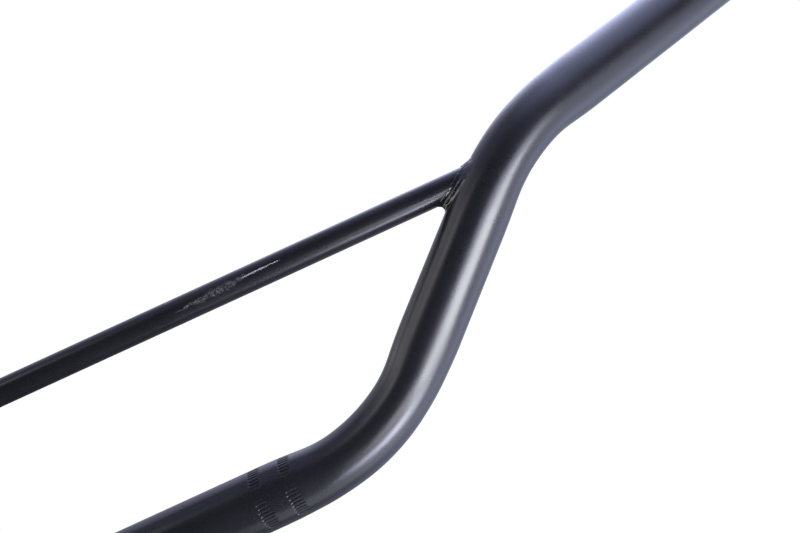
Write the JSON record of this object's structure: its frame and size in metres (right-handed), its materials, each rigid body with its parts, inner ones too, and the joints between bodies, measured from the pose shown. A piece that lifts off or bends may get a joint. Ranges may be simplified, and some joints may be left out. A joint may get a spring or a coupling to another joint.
{
  "type": "scrambler handlebar",
  "caption": "Wide motorbike handlebar: a bent tube with risers and swept grip ends, braced by a welded crossbar, with pressed grooves on its clamp seats.",
  "frame": {"origin": "middle of the clamp section, on the tube's axis", "axes": "+X along the clamp section, +Z square to it towards the crossbar, +Y to the rear, where the grip ends sweep"},
  "size_m": [0.806, 0.106, 0.1708],
  "materials": {
    "coat": "satin",
    "weld_coat": "satin"
  },
  "bodies": {
    "root": {"main_tube": "coat", "crossbar": "coat", "weld_left": "weld_coat", "weld_right": "weld_coat"}
  },
  "joints": []
}
